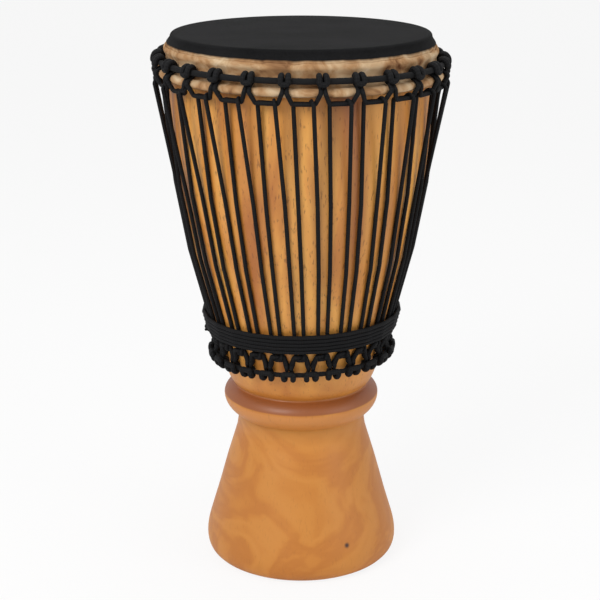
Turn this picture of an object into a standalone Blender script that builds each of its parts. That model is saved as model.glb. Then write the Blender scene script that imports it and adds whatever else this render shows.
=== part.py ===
"""A bougarabou: a one-headed goblet drum about 60 cm tall.

The shell is one carved piece of wood, open right through from the playing end to the foot.
The hide is folded round a steel flesh hoop below the rim, and its edge is turned up behind a
cloth-wrapped crown hoop. A cradle cord is hitched 26 times round the crown hoop, another 26
times round the lower hoop, and one lacing cord zigzags between the two. The lacing's surplus is
wound round the narrow end of the bowl.

Lengths are in metres. +Z is up, the drum stands on z = 0 and its axis is the Z axis.
Angles are in degrees, measured from -Y (the front) towards +X.
"""
import math

import bmesh
import bpy
import numpy as np
from mathutils import Matrix, Vector

for thing in list(bpy.data.objects):
    bpy.data.objects.remove(thing)

# Overall sizes
DRUM_HEIGHT = 0.600          # to the playing face
HEAD_RADIUS = 0.1400         # at the crease of the hide
CLEARANCE = 0.0003           # between pieces that touch

# Shell, outside
BASE_RADIUS = 0.0935         # flat ring that it stands on
FOOT_RADIUS = 0.1140         # reach of the rounded foot edge
FOOT_ROUND_HEIGHT = 0.0390   # where the edge meets the straight cone
FOOT_CONE_RADIUS = 0.1060    # there
FOOT_TAPER = 0.290           # loss of radius per length up the cone
WAIST_RADIUS = 0.0707
NECK_LENGTH = 0.0190         # where the cone bends into the waist
WAIST_HEIGHT = 0.1695
COLLAR_RADIUS = 0.0875
COLLAR_HEIGHT = 0.1915
CREASE_RADIUS = 0.0750       # valley between collar and bowl
CREASE_HEIGHT = 0.2060
BOWL_START_RADIUS = 0.0912
BOWL_START_HEIGHT = 0.2465
BOWL_SLOPE = 0.250           # gain of radius per length at the bottom of the bowl
BELLY_RADIUS = 0.1418
BELLY_HEIGHT = 0.5550
RIM_ROUND = 0.0040
# Shell, inside
RIM_WALL = 0.0130
BELLY_WALL = 0.0140
THROAT_RADIUS = 0.0480
THROAT_HEIGHT = 0.1800
FOOT_MOUTH_RADIUS = 0.0820

# Hide and hoops
HIDE_THICKNESS = 0.0012
CREASE_ROUND = 0.0030
FLESH_ROD = 0.0056           # diameter of the steel inside the fold
FLESH_RADIUS = 0.1505
FLESH_HEIGHT = 0.5594
CUFF_HEIGHT = 0.5866         # upper edge of the turned-up hide
CUFF_SLACK = 0.0011          # room between the cuff and the cord behind the crown hoop
CROWN_ROD = 0.0050
CROWN_CLOTH = 0.0005
CROWN_RADIUS = 0.1527
CROWN_HEIGHT = 0.5712
LOWER_ROD = 0.0040
LOWER_CLOTH = 0.0004
LOWER_HEIGHT = 0.2452
CLOTH_SLIT = 0.0006          # between the two edges of the cloth strip, on the inner side

# Cords
CORD_DIAMETER = 0.0040
PRESSED = 0.75               # share of its thickness that a squeezed cord keeps
CORD_GAP = 0.00045           # least distance that a cord keeps from itself
HITCHES = 26
FRONT_HITCH = 7.86           # angle of the hitch right of the front, at the top
LACING_LEAN = 5.20           # how far the lacing turns on its way down
RUN_HEIGHT = 0.5486          # bottom of the upper cradle's loops
RUN_RADIUS = 0.1537
RUN_WIDTH = 0.0227
HITCH_WIDTH = 0.0032         # from a hitch's middle to the middle of either wrap
LOW_RUN_HEIGHT = 0.2665      # top of the lower cradle's loops
LOW_RUN_WIDTH = 0.0124
LOW_HITCH_WIDTH = 0.0042
WINDING_TOP = 0.2925
WINDING_TURNS = 5
WINDING_START = -98.0
NECK_HEIGHT = 0.0105         # of the lower hitches' necks above the lower hoop
LEG_SPREAD = 2.9             # angle of a lacing leg from the upper hitch beside it
LOW_LEG_SPREAD = 2.7         # and from the middle of the lower loop that it enters
TIE_KNOT = 0.0080            # joins the ends of the upper cradle
TIE_HITCH = -4               # the hitch that it hangs beside, counted from the front one
END_KNOT = 0.0090            # ends the winding

# Tilt of the fittings, rise per length towards +X
TOP_TILT = -0.0110
LOW_TILT = 0.0240

# Facets
SIDES_ROUND = 2 * HITCHES

PITCH = 360.0 / HITCHES
CORD_RADIUS = CORD_DIAMETER / 2
PRESSED_RADIUS = CORD_RADIUS * PRESSED
CROWN_OUTER = CROWN_ROD / 2 + CLEARANCE + CROWN_CLOTH
LOWER_OUTER = LOWER_ROD / 2 + CLEARANCE + LOWER_CLOTH
HIDE_ROUND_ROD = FLESH_ROD / 2 + CLEARANCE + HIDE_THICKNESS
RIM_TOP = DRUM_HEIGHT - HIDE_THICKNESS - CLEARANCE
RIM_RADIUS = HEAD_RADIUS - HIDE_THICKNESS - CLEARANCE
FIRST_LOW_LOOP = FRONT_HITCH + LACING_LEAN
LOW_HITCH = FIRST_LOW_LOOP - PITCH / 2
NECK_HALF = CORD_RADIUS + CORD_GAP / 2
WINDING_PITCH = CORD_DIAMETER + CORD_GAP


def bezier(start, pull_start, pull_end, end, steps):
    """Points along a cubic curve, without its start."""
    points = []
    for step in range(1, steps + 1):
        t = step / steps
        a, b, c, d = (1 - t) ** 3, 3 * t * (1 - t) ** 2, 3 * t * t * (1 - t), t ** 3
        points.append(tuple(a * s + b * p + c * q + d * e
                            for s, p, q, e in zip(start, pull_start, pull_end, end)))
    return points


def arc(centre, radius, first, last, steps):
    """Points on a circle in the profile plane, from one angle to another."""
    points = []
    for step in range(steps + 1):
        angle = math.radians(first + (last - first) * step / steps)
        points.append((centre[0] + radius * math.cos(angle), centre[1] + radius * math.sin(angle)))
    return points


def foot_outline():
    """Outer side of the foot, from the base ring up to the waist."""
    base = (BASE_RADIUS, 0.0)
    cone = (FOOT_CONE_RADIUS, FOOT_ROUND_HEIGHT)
    edge_low = (BASE_RADIUS + 0.7 * (FOOT_RADIUS - BASE_RADIUS), 0.0)
    edge_high = (FOOT_RADIUS, FOOT_ROUND_HEIGHT - (FOOT_RADIUS - FOOT_CONE_RADIUS) / FOOT_TAPER)
    waist = (WAIST_RADIUS, WAIST_HEIGHT)
    neck_height = WAIST_HEIGHT - NECK_LENGTH
    neck = (FOOT_CONE_RADIUS - FOOT_TAPER * (neck_height - FOOT_ROUND_HEIGHT), neck_height)
    return [base] + bezier(base, edge_low, edge_high, cone, 4) + [neck, waist]


def collar_outline():
    """Outer side of the collar, from the waist to the valley under the bowl."""
    waist = (WAIST_RADIUS, WAIST_HEIGHT)
    ridge = (COLLAR_RADIUS, COLLAR_HEIGHT)
    crease = (CREASE_RADIUS, CREASE_HEIGHT)
    rise = COLLAR_HEIGHT - WAIST_HEIGHT
    drop = CREASE_HEIGHT - COLLAR_HEIGHT
    step = COLLAR_RADIUS - WAIST_RADIUS
    lower = bezier(waist, (WAIST_RADIUS + 0.38 * step, WAIST_HEIGHT + 0.12 * rise),
                   (COLLAR_RADIUS, COLLAR_HEIGHT - 0.52 * rise), ridge, 3)
    upper = bezier(ridge, (COLLAR_RADIUS, COLLAR_HEIGHT + 0.48 * drop),
                   (CREASE_RADIUS + 0.5 * (COLLAR_RADIUS - CREASE_RADIUS), COLLAR_HEIGHT + 0.8 * drop),
                   crease, 3)
    return lower + upper


def bowl_outline():
    """Outer side of the bowl, from the valley to the rounded rim."""
    crease = (CREASE_RADIUS, CREASE_HEIGHT)
    start = (BOWL_START_RADIUS, BOWL_START_HEIGHT)
    belly = (BELLY_RADIUS, BELLY_HEIGHT)
    rise = BOWL_START_HEIGHT - CREASE_HEIGHT
    grow = BOWL_START_RADIUS - CREASE_RADIUS
    wall = 0.39 * (BELLY_HEIGHT - BOWL_START_HEIGHT)
    low = bezier(crease, (CREASE_RADIUS + 0.48 * grow, CREASE_HEIGHT + 0.14 * rise),
                 (BOWL_START_RADIUS - BOWL_SLOPE * 0.4 * rise, BOWL_START_HEIGHT - 0.4 * rise), start, 3)
    side = bezier(start, (BOWL_START_RADIUS + BOWL_SLOPE * wall, BOWL_START_HEIGHT + wall),
                  (BELLY_RADIUS, BELLY_HEIGHT - wall), belly, 5)
    rim_centre = (RIM_RADIUS - RIM_ROUND, RIM_TOP - RIM_ROUND)
    return low + side + arc(rim_centre, RIM_ROUND, 0, 90, 2)


def shell_outline():
    """The whole outer side, from the base ring to the top of the rim."""
    return foot_outline() + collar_outline() + bowl_outline()


def bore_outline():
    """The inner side, from the rim down to the mouth of the foot."""
    rim = (RIM_RADIUS - RIM_WALL, RIM_TOP)
    belly = (BELLY_RADIUS - BELLY_WALL, BELLY_HEIGHT)
    throat = (THROAT_RADIUS, THROAT_HEIGHT)
    drop = BELLY_HEIGHT - THROAT_HEIGHT
    bowl = bezier(belly, (belly[0], BELLY_HEIGHT - 0.4 * drop),
                  (THROAT_RADIUS, THROAT_HEIGHT + 0.16 * drop), throat, 4)
    foot = bezier(throat, (THROAT_RADIUS, THROAT_HEIGHT * 0.75),
                  (FOOT_MOUTH_RADIUS - 0.2 * (FOOT_MOUTH_RADIUS - THROAT_RADIUS), THROAT_HEIGHT * 0.2),
                  (FOOT_MOUTH_RADIUS, 0.0), 3)
    return [rim, belly] + bowl + foot


def wall_radius(height):
    """Outer radius of the shell at a height, read from its outline."""
    outline = shell_outline()
    for (low_radius, low), (high_radius, high) in zip(outline, outline[1:]):
        if low <= height <= high:
            return low_radius + (high_radius - low_radius) * (height - low) / (high - low)
    return RIM_RADIUS


def smooth_step(value, low, high):
    """0 below low, 1 above high, and a soft ramp between."""
    t = min(1.0, max(0.0, (value - low) / (high - low)))
    return t * t * (3 - 2 * t)


def leaned(point):
    """Tips the fittings a little, the way uneven tension has pulled them, and keeps them on the wall."""
    x, y, z = point
    top = smooth_step(z, RUN_HEIGHT - 0.08, RUN_HEIGHT - 0.01) * (1 - smooth_step(z, CROWN_HEIGHT + 0.01, DRUM_HEIGHT))
    low = 1 - smooth_step(z, WINDING_TOP + 0.01, WINDING_TOP + 0.12)
    rise = x * (TOP_TILT * top + LOW_TILT * low)
    radius = math.hypot(x, y)
    spread = 1 + BOWL_SLOPE * low * rise / radius if radius > 0 else 1
    return (x * spread, y * spread, z + rise)


def at(angle, radius, height, along=0.0):
    """A point by its angle and radius, moved along the circle by a length."""
    turn = math.radians(angle) + along / radius
    return leaned((radius * math.sin(turn), -radius * math.cos(turn), height))


def new_material(name, colour, roughness, metallic=0.0):
    material = bpy.data.materials.new(name)
    material.use_nodes = True
    shader = material.node_tree.nodes["Principled BSDF"]
    shader.inputs["Base Color"].default_value = (*colour, 1.0)
    shader.inputs["Roughness"].default_value = roughness
    shader.inputs["Metallic"].default_value = metallic
    return material


def add_object(name, data, material):
    part = bpy.data.objects.new(name, data)
    data.materials.append(material)
    drum.objects.link(part)
    return part


def profile_mesh(name, outline, closed):
    """A mesh of edges in the XZ plane, to be turned round the Z axis."""
    shape = bmesh.new()
    corners = [shape.verts.new((radius, 0.0, height)) for radius, height in outline]
    for first, second in zip(corners, corners[1:]):
        shape.edges.new((first, second))
    if closed:
        shape.edges.new((corners[-1], corners[0]))
    mesh = bpy.data.meshes.new(name)
    shape.to_mesh(mesh)
    shape.free()
    return mesh


def add_screw(part):
    screw = part.modifiers.new("Turn", "SCREW")
    screw.axis = "Z"
    screw.angle = math.tau
    screw.steps = SIDES_ROUND
    screw.render_steps = SIDES_ROUND
    screw.use_merge_vertices = True
    screw.merge_threshold = 0.00001
    screw.use_smooth_shade = True


def turned(name, outline, material, first_angle):
    """A closed profile turned round the axis, with a facet corner at first_angle."""
    part = add_object(name, profile_mesh(name, outline, True), material)
    add_screw(part)
    part.rotation_euler.z = math.radians(first_angle - 90.0)
    return part


def lean(part):
    """Bakes a piece's modifiers and tips it with the other fittings."""
    bpy.context.view_layer.update()
    graph = bpy.context.evaluated_depsgraph_get()
    mesh = bpy.data.meshes.new_from_object(part.evaluated_get(graph))
    mesh.transform(part.matrix_world)
    for vertex in mesh.vertices:
        vertex.co = leaned(vertex.co)
    old = part.data
    part.modifiers.clear()
    part.rotation_euler.z = 0.0
    part.data = mesh
    mesh.name = part.name
    bpy.data.meshes.remove(old)


def turned_and_leaned(name, outline, material, first_angle):
    """A turned piece that follows the tilt of the fittings."""
    part = turned(name, outline, material, first_angle)
    lean(part)
    return part


def add_cord(name, route, material, sides_step=1, closed=False):
    """A cord as one tube. Each place on the route is a point and the share of full thickness there."""
    curve = bpy.data.curves.new(name, "CURVE")
    curve.dimensions = "3D"
    curve.bevel_depth = CORD_RADIUS
    curve.bevel_resolution = sides_step
    curve.use_fill_caps = not closed
    spline = curve.splines.new("POLY")
    spline.points.add(len(route) - 1)
    spline.use_cyclic_u = closed
    for place, (point, thickness) in zip(spline.points, route):
        place.co = (*point, 1.0)
        place.radius = thickness
    return add_object(name, curve, material)


def add_rod_ring(name, radius, height, diameter, material, first_angle):
    """A steel hoop: a closed tube with a corner at every facet of the pieces round it."""
    curve = bpy.data.curves.new(name, "CURVE")
    curve.dimensions = "3D"
    curve.bevel_depth = diameter / 2
    curve.bevel_resolution = 0
    spline = curve.splines.new("POLY")
    spline.points.add(SIDES_ROUND - 1)
    spline.use_cyclic_u = True
    for number, place in enumerate(spline.points):
        angle = first_angle + 360.0 * number / SIDES_ROUND
        place.co = (*at(angle, radius, height), 1.0)
    return add_object(name, curve, material)


def cloth_outline(radius, height, rod, cloth):
    """Section of a cloth sleeve round a rod, with the slit between its edges on the inner side."""
    inner = rod / 2 + CLEARANCE
    outer = inner + cloth
    opening = math.degrees(CLOTH_SLIT / 2 / inner)
    centre = (radius, height)
    outside = arc(centre, outer, 180 - opening, -180 + opening, 6)
    inside = arc(centre, inner / math.cos(math.radians(30)), -180 + opening, 180 - opening, 6)
    return outside + inside


def hide_outline():
    """The hide's middle line: playing face, side, round the flesh hoop, and the turned-up cuff."""
    half = HIDE_THICKNESS / 2
    face = DRUM_HEIGHT - half
    side = HEAD_RADIUS - half
    crease = arc((side - CREASE_ROUND, face - CREASE_ROUND), CREASE_ROUND, 90, 0, 2)
    wall = BELLY_RADIUS + CLEARANCE + half
    fold = (FLESH_RADIUS, FLESH_HEIGHT)
    fold_step = (490 - 200) / 6
    round_rod = (FLESH_ROD / 2 + CLEARANCE + half) / math.cos(math.radians(fold_step / 2))
    behind_crown = CROWN_RADIUS - CROWN_OUTER - 2 * CLEARANCE - 2 * PRESSED_RADIUS - half - CUFF_SLACK
    cuff = [(behind_crown, CROWN_HEIGHT - 0.0020), (behind_crown, CROWN_HEIGHT + 0.0035),
            (behind_crown + 0.0026, CUFF_HEIGHT - 0.0045), (wall + 0.0022, CUFF_HEIGHT)]
    return [(0.0, face)] + crease + [(wall, FLESH_HEIGHT + 0.0110)] + arc(fold, round_rod, 200, 490, 6) + cuff


drum = bpy.data.collections.new("bougarabou")
bpy.context.scene.collection.children.link(drum)

# A hitch's wrap, from the neck to the cord's stretch across the front: section angle and share of thickness
WRAP_STEP = 62.0
WRAP = [(-75 - WRAP_STEP * step + (1 if step == 5 else 0), PRESSED if step < 3 else 1.0) for step in range(6)]
NECK_SECTION = 5.0           # where the necks pass the flesh hoop
NECK_REACH = 0.00815
LOWER_RADIUS = wall_radius(LOWER_HEIGHT) + 2 * CLEARANCE + 2 * PRESSED_RADIUS + LOWER_OUTER + 0.0006
INNER_LAYER = CLEARANCE + PRESSED_RADIUS
OUTER_LAYER = INNER_LAYER + 2 * PRESSED_RADIUS + CLEARANCE
LOW_RUN_TURN = 0.0024        # a loop changes layer this far either side of its middle
# Lacing: height and lift off the wall along a leg, then each bight's places as length along, out, up and thickness
LEG = [(0.296, 0.0), (0.365, 0.0012), (0.440, 0.0009)]
UPPER_BIGHT = [(-0.0102, -0.0046, 0.0, 1.0), (0.0064, -0.0046, 0.0, 1.0), (0.0076, -0.0025, 0.0038, PRESSED),
               (0.0080, 0.0023, 0.0040, PRESSED), (0.0098, 0.0046, -0.0003, 1.0)]
LOWER_BIGHT = [(-0.0046, 0.0, 0.0, PRESSED), (-0.0036, -0.0005, -0.0038, 1.0), (0.0034, -0.0006, -0.0038, 1.0),
               (0.0040, 0.0028, -0.0026, 1.0), (0.00455, 0.0034, 0.0004, PRESSED), (0.0046, 0.0016, 0.0036, PRESSED)]
LACING_END = 0.0020          # the lacing stops above the winding's start
LEAD_ANGLE = 2.6
LEAD_RISE = 0.0030
LEAD_LIFT = 0.0046
CHORD_SHARE = 0.8
TIE_GAP = 0.0006
TIE_PLACE = at(FRONT_HITCH + TIE_HITCH * PITCH, 0.1576, 0.5535, -0.0036)
END_GAP = 0.0006
END_ANGLE = -98.5
END_PLACE = at(END_ANGLE, 0.1085, 0.2640)


def beside(hoop, angle, section, reach, along):
    """A point round a hoop given by its radius and height: section 0 is outward and 90 is up."""
    turn = math.radians(section)
    return at(angle, hoop[0] + reach * math.cos(turn), hoop[1] + reach * math.sin(turn), along)


def hitch(angle, hoop, outer, side, width):
    """A cow hitch round a hoop, up the left wrap, across its front and down the right one.
    side is 1 where the cord comes from below the hoop, and -1 where it comes from above."""
    wrap = []
    for number, (section, share) in enumerate(WRAP):
        reach = (outer + CLEARANCE + CORD_RADIUS * share) / math.cos(math.radians(WRAP_STEP / 2))
        spread = NECK_HALF + (width - NECK_HALF) * number / (len(WRAP) - 1)
        wrap.append((section * side, reach, spread, share))
    left = [(beside(hoop, angle, section, reach, -spread), share) for section, reach, spread, share in wrap]
    right = [(beside(hoop, angle, section, reach, spread), share) for section, reach, spread, share in reversed(wrap)]
    return left + right


def upper_hitch(number):
    """One hitch of the upper cradle, from its left corner to its right one."""
    angle = FRONT_HITCH + number * PITCH
    corner = (RUN_RADIUS * math.radians(PITCH) - RUN_WIDTH) / 2
    flesh = (FLESH_RADIUS, FLESH_HEIGHT)
    ends = []
    for side in (-1, 1):
        ends.append([(at(angle, RUN_RADIUS, RUN_HEIGHT, side * corner), 1.0),
                     (beside(flesh, angle, NECK_SECTION, NECK_REACH, side * NECK_HALF), 1.0)])
    crown = (CROWN_RADIUS, CROWN_HEIGHT)
    return ends[0] + hitch(angle, crown, CROWN_OUTER, 1, HITCH_WIDTH) + ends[1][::-1]


def lower_hitch(number):
    """One hitch of the lower cradle and the loop to its right."""
    angle = LOW_HITCH + number * PITCH
    neck_height = LOWER_HEIGHT + NECK_HEIGHT
    neck = wall_radius(neck_height) + CLEARANCE + CORD_RADIUS
    hoop = (LOWER_RADIUS, LOWER_HEIGHT)
    route = [(at(angle, neck, neck_height, -NECK_HALF), 1.0)]
    route += hitch(angle, hoop, LOWER_OUTER, -1, LOW_HITCH_WIDTH)
    route.append((at(angle, neck, neck_height, NECK_HALF), 1.0))
    wall = wall_radius(LOW_RUN_HEIGHT)
    for along, layer in ((-LOW_RUN_WIDTH / 2, OUTER_LAYER), (-LOW_RUN_TURN, OUTER_LAYER),
                         (LOW_RUN_TURN, INNER_LAYER), (LOW_RUN_WIDTH / 2, INNER_LAYER)):
        route.append((at(angle + PITCH / 2, wall + layer, LOW_RUN_HEIGHT, along), PRESSED))
    return route


def leg(number, side, rising):
    """The long stretch of lacing beside an upper hitch: side is -1 on its left and 1 on its right."""
    points = []
    for height, lift in LEG:
        down = (RUN_HEIGHT - height) / (RUN_HEIGHT - LOW_RUN_HEIGHT)
        spread = LEG_SPREAD + (LOW_LEG_SPREAD - LEG_SPREAD) * down
        angle = FRONT_HITCH + number * PITCH + LACING_LEAN * down + side * spread
        radius = wall_radius(height) + CLEARANCE + CORD_RADIUS + lift
        points.append((at(angle, radius, height), 1.0))
    return points if rising else points[::-1]


def upper_bight(number):
    """The lacing behind the upper loop to the right of a hitch, over it and out to the front."""
    middle = FRONT_HITCH + (number + 0.5) * PITCH
    return [(at(middle, RUN_RADIUS + out, RUN_HEIGHT + up, along), share)
            for along, out, up, share in UPPER_BIGHT]


def lower_bight(number):
    """The lacing behind a lower loop, under it and up over its front."""
    middle = FIRST_LOW_LOOP + number * PITCH
    wall = wall_radius(LOW_RUN_HEIGHT)
    return [(at(middle, wall + INNER_LAYER + out, LOW_RUN_HEIGHT + up, along), share)
            for along, out, up, share in LOWER_BIGHT]


def toward(start, end, length):
    """The point a length away from start on the way to end."""
    start, end = Vector(start), Vector(end)
    return tuple(start + (end - start).normalized() * length)


def upper_cradle():
    """The whole upper cradle, open at the knot that ties its ends."""
    hitches = [upper_hitch(TIE_HITCH + number) for number in range(HITCHES)]
    first = hitches[0]
    reach = TIE_KNOT / 2 + TIE_GAP
    start = (toward(TIE_PLACE, first[1][0], reach), 1.0)
    end = (toward(TIE_PLACE, first[0][0], reach), 1.0)
    route = [start] + first[1:]
    for places in hitches[1:]:
        route += places
    return route + [first[0], end]


def lower_cradle():
    route = []
    for number in range(HITCHES):
        route += lower_hitch(number)
    return route


def lacing():
    """One cord that zigzags all the way round, from the lower loop at the winding's start and back."""
    first = round((WINDING_START - FIRST_LOW_LOOP) / PITCH)
    route = lower_bight(first)[2:]
    for number in range(first, first + HITCHES):
        route += leg(number, 1, True) + upper_bight(number) + leg(number + 1, -1, False)
        route += lower_bight(number + 1)
    route = route[:-len(LOWER_BIGHT)]
    end, share = route[-1]
    return route[:-1] + [((end[0], end[1], end[2] + LACING_END), share)]


def winding():
    """The lacing's surplus, wound round the legs from the top down, with a short lead-in and a tail."""
    first = round((WINDING_START - FIRST_LOW_LOOP) / PITCH)
    start = FIRST_LOW_LOOP + first * PITCH
    chord = math.cos(math.radians(PITCH / 2) * CHORD_SHARE)
    route = [(at(start - LEAD_ANGLE, wall_radius(WINDING_TOP) + LEAD_LIFT, WINDING_TOP + LEAD_RISE), 1.0)]
    for step in range(WINDING_TURNS * HITCHES):
        height = WINDING_TOP - WINDING_PITCH * step / HITCHES
        radius = (wall_radius(height) + 2 * CLEARANCE + 3 * CORD_RADIUS) / chord
        route.append((at(start + step * PITCH, radius, height), 1.0))
    return route + [(toward(END_PLACE, route[-1][0], END_KNOT / 2 + END_GAP), 1.0)]


def least_gap(route, closed):
    """Least distance between the surfaces of stretches of one cord that aren't neighbours along it."""
    places = [Vector(point) for point, share in route]
    shares = [share for point, share in route]
    if closed:
        places.append(places[0])
        shares.append(shares[0])
    samples, radii, lengths, length = [], [], [], 0.0
    for first, second, share, next_share in zip(places, places[1:], shares, shares[1:]):
        count = max(1, round((second - first).length / (CORD_RADIUS / 2)))
        for step in range(count):
            samples.append(first.lerp(second, step / count))
            radii.append(CORD_RADIUS * (share + (next_share - share) * step / count))
            lengths.append(length + (second - first).length * step / count)
        length += (second - first).length
    samples, radii, lengths = np.array(samples), np.array(radii), np.array(lengths)
    least = math.inf
    for place, radius, here in zip(samples, radii, lengths):
        apart = np.abs(lengths - here)
        if closed:
            apart = np.minimum(apart, length - apart)
        far = apart > 3 * CORD_DIAMETER
        gaps = np.linalg.norm(samples[far] - place, axis=1) - radii[far] - radius
        least = min(least, gaps.min())
    return least


def add_measured_cord(name, route, material, sides_step, closed=False):
    cord = add_cord(name, route, material, sides_step, closed)
    print(f"{name}: least gap to itself {least_gap(route, closed) * 1000:.2f} mm")
    return cord


def add_knot(name, place, width, height, angle, material):
    """A knot as a rounded body, wider along the circle than it is high."""
    bpy.ops.mesh.primitive_uv_sphere_add(segments=12, ring_count=8, radius=0.5)
    ball = bpy.context.object
    ball.name = name
    bpy.context.collection.objects.unlink(ball)
    drum.objects.link(ball)
    ball.data.name = name
    ball.data.transform(Matrix.Diagonal((width, height, height, 1.0)))
    ball.data.materials.append(material)
    ball.data.shade_smooth()
    ball.rotation_euler.z = math.radians(angle)
    ball.location = place
    return ball


def add_hide(material):
    """The hide: an open line turned round the axis and given its thickness."""
    hide = add_object("drumhead", profile_mesh("drumhead", hide_outline(), False), material)
    add_screw(hide)
    skin = hide.modifiers.new("Thickness", "SOLIDIFY")
    skin.thickness = HIDE_THICKNESS
    skin.offset = 0.0
    hide.rotation_euler.z = math.radians(FRONT_HITCH - 90.0)
    lean(hide)
    return hide


wood = new_material("oiled golden wood", (0.56, 0.23, 0.050), 0.38)
hide_skin = new_material("black goat hide", (0.022, 0.022, 0.023), 0.80)
steel = new_material("steel rod", (0.42, 0.42, 0.42), 0.35, 1.0)
cloth = new_material("black cloth strip", (0.010, 0.010, 0.012), 0.85)
cord_braid = new_material("black braided cord", (0.012, 0.012, 0.014), 0.60)

turned("shell", shell_outline()[::-1] + bore_outline()[::-1], wood, FRONT_HITCH)
add_hide(hide_skin)
add_rod_ring("flesh_hoop", FLESH_RADIUS, FLESH_HEIGHT, FLESH_ROD, steel, FRONT_HITCH)
add_rod_ring("crown_hoop", CROWN_RADIUS, CROWN_HEIGHT, CROWN_ROD, steel, FRONT_HITCH)
turned_and_leaned("crown_hoop_wrap", cloth_outline(CROWN_RADIUS, CROWN_HEIGHT, CROWN_ROD, CROWN_CLOTH),
                  cloth, FRONT_HITCH)
add_rod_ring("lower_hoop", LOWER_RADIUS, LOWER_HEIGHT, LOWER_ROD, steel, LOW_HITCH)
turned_and_leaned("lower_hoop_wrap", cloth_outline(LOWER_RADIUS, LOWER_HEIGHT, LOWER_ROD, LOWER_CLOTH),
                  cloth, LOW_HITCH)
add_measured_cord("upper_cradle_cord", upper_cradle(), cord_braid, 0)
add_measured_cord("lower_cradle_cord", lower_cradle(), cord_braid, 0, True)
add_measured_cord("lacing_cord", lacing(), cord_braid, 0)
add_measured_cord("winding_cord", winding(), cord_braid, 0)
add_knot("cradle_tie_knot", TIE_PLACE, TIE_KNOT, TIE_KNOT, FRONT_HITCH + TIE_HITCH * PITCH, cord_braid)
add_knot("cord_end_knot", END_PLACE, END_KNOT, END_KNOT, END_ANGLE, cord_braid)
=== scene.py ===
# %% [markdown]
# A bougarabou is a goblet drum with one head. Its shell is a single carved piece of wood, its hide is
# folded round a hidden steel hoop, and one long cord is laced between two cradles that hang on
# cloth-wrapped hoops. Its solids are loaded here as a fixed frame.

# %% Load the frame
import math

import bmesh
import bpy
from mathutils import Matrix, Vector, noise


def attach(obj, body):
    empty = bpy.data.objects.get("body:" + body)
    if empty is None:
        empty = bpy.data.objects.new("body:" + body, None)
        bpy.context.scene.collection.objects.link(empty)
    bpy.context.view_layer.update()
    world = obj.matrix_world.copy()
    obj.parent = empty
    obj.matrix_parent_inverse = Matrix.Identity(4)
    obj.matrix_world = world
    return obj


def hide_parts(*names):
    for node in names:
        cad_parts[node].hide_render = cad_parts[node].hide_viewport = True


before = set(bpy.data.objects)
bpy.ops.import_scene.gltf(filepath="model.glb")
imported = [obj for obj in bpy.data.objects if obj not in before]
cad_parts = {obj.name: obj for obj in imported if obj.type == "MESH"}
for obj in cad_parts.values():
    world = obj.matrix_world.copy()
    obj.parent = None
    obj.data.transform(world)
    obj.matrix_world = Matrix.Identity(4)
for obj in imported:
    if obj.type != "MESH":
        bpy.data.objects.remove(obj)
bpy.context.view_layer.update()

# %% [markdown]
# These are the drum's main sizes, in metres. They are the ones that its solids were built from, and
# every outline and every cord below is worked out from them. Angles are in degrees from the front
# towards the viewer's right.

# %% Sizes
DRUM_HEIGHT = 0.600
HEAD_RADIUS = 0.1400
CLEARANCE = 0.0003           # between two pieces that touch
BASE_RADIUS = 0.0935
FOOT_RADIUS = 0.1140
FOOT_ROUND_HEIGHT = 0.0390
FOOT_CONE_RADIUS = 0.1060
FOOT_TAPER = 0.290
WAIST_RADIUS = 0.0707
NECK_LENGTH = 0.0190
WAIST_HEIGHT = 0.1695
COLLAR_RADIUS = 0.0875
COLLAR_HEIGHT = 0.1915
CREASE_RADIUS = 0.0750
CREASE_HEIGHT = 0.2060
BOWL_START_RADIUS = 0.0912
BOWL_START_HEIGHT = 0.2465
BOWL_SLOPE = 0.250
BELLY_RADIUS = 0.1418
BELLY_HEIGHT = 0.5550
RIM_ROUND = 0.0040
RIM_WALL = 0.0130
BELLY_WALL = 0.0140
THROAT_RADIUS = 0.0480
THROAT_HEIGHT = 0.1800
FOOT_MOUTH_RADIUS = 0.0820
HIDE_THICKNESS = 0.0012
CREASE_ROUND = 0.0030
FLESH_ROD = 0.0056           # thickness of the hidden hoop
FLESH_RADIUS = 0.1505
FLESH_HEIGHT = 0.5594
CUFF_HEIGHT = 0.5866
CUFF_SLACK = 0.0011
CROWN_RADIUS = 0.1527
CROWN_HEIGHT = 0.5712
CROWN_OUTER = 0.0033         # half the thickness of a hoop in its cloth
LOWER_HEIGHT = 0.2452
LOWER_OUTER = 0.0027
CORD_RADIUS = 0.0020
PRESSED = 0.75               # a squeezed cord's share of its full thickness
CORD_GAP = 0.00045           # between two turns of one cord
HITCHES = 26
PITCH = 360.0 / HITCHES      # degrees from one hitch to the next
FRONT_HITCH = 7.86           # angle of the first upper hitch right of the front
LACING_LEAN = 5.20           # degrees that the lacing leans from its upper to its lower loops
RUN_HEIGHT = 0.5486          # a run is the level stretch between two hitches
RUN_RADIUS = 0.1537
RUN_WIDTH = 0.0227
HITCH_WIDTH = 0.0040
LOW_RUN_HEIGHT = 0.2665
LOW_RUN_WIDTH = 0.0124
LOW_RUN_TURN = 0.0024
LOW_HITCH_WIDTH = 0.0058
NECK_HEIGHT = 0.0105
LEG_SPREAD = 2.9             # degrees between a leg and its hitch
LOW_LEG_SPREAD = 2.7
WINDING_TOP = 0.2925
WINDING_TURNS = 5
WINDING_START = -98.0
WINDING_PITCH = 2 * CORD_RADIUS + CORD_GAP
TOP_TILT = -0.0110           # rise for each metre to the right
LOW_TILT = 0.0240
TIE_HITCH = -4               # the upper cradle's ends meet at this hitch
FIRST_LOW_LOOP = FRONT_HITCH + LACING_LEAN
LOW_HITCH = FIRST_LOW_LOOP - PITCH / 2
RIM_TOP = DRUM_HEIGHT - HIDE_THICKNESS - CLEARANCE
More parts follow.
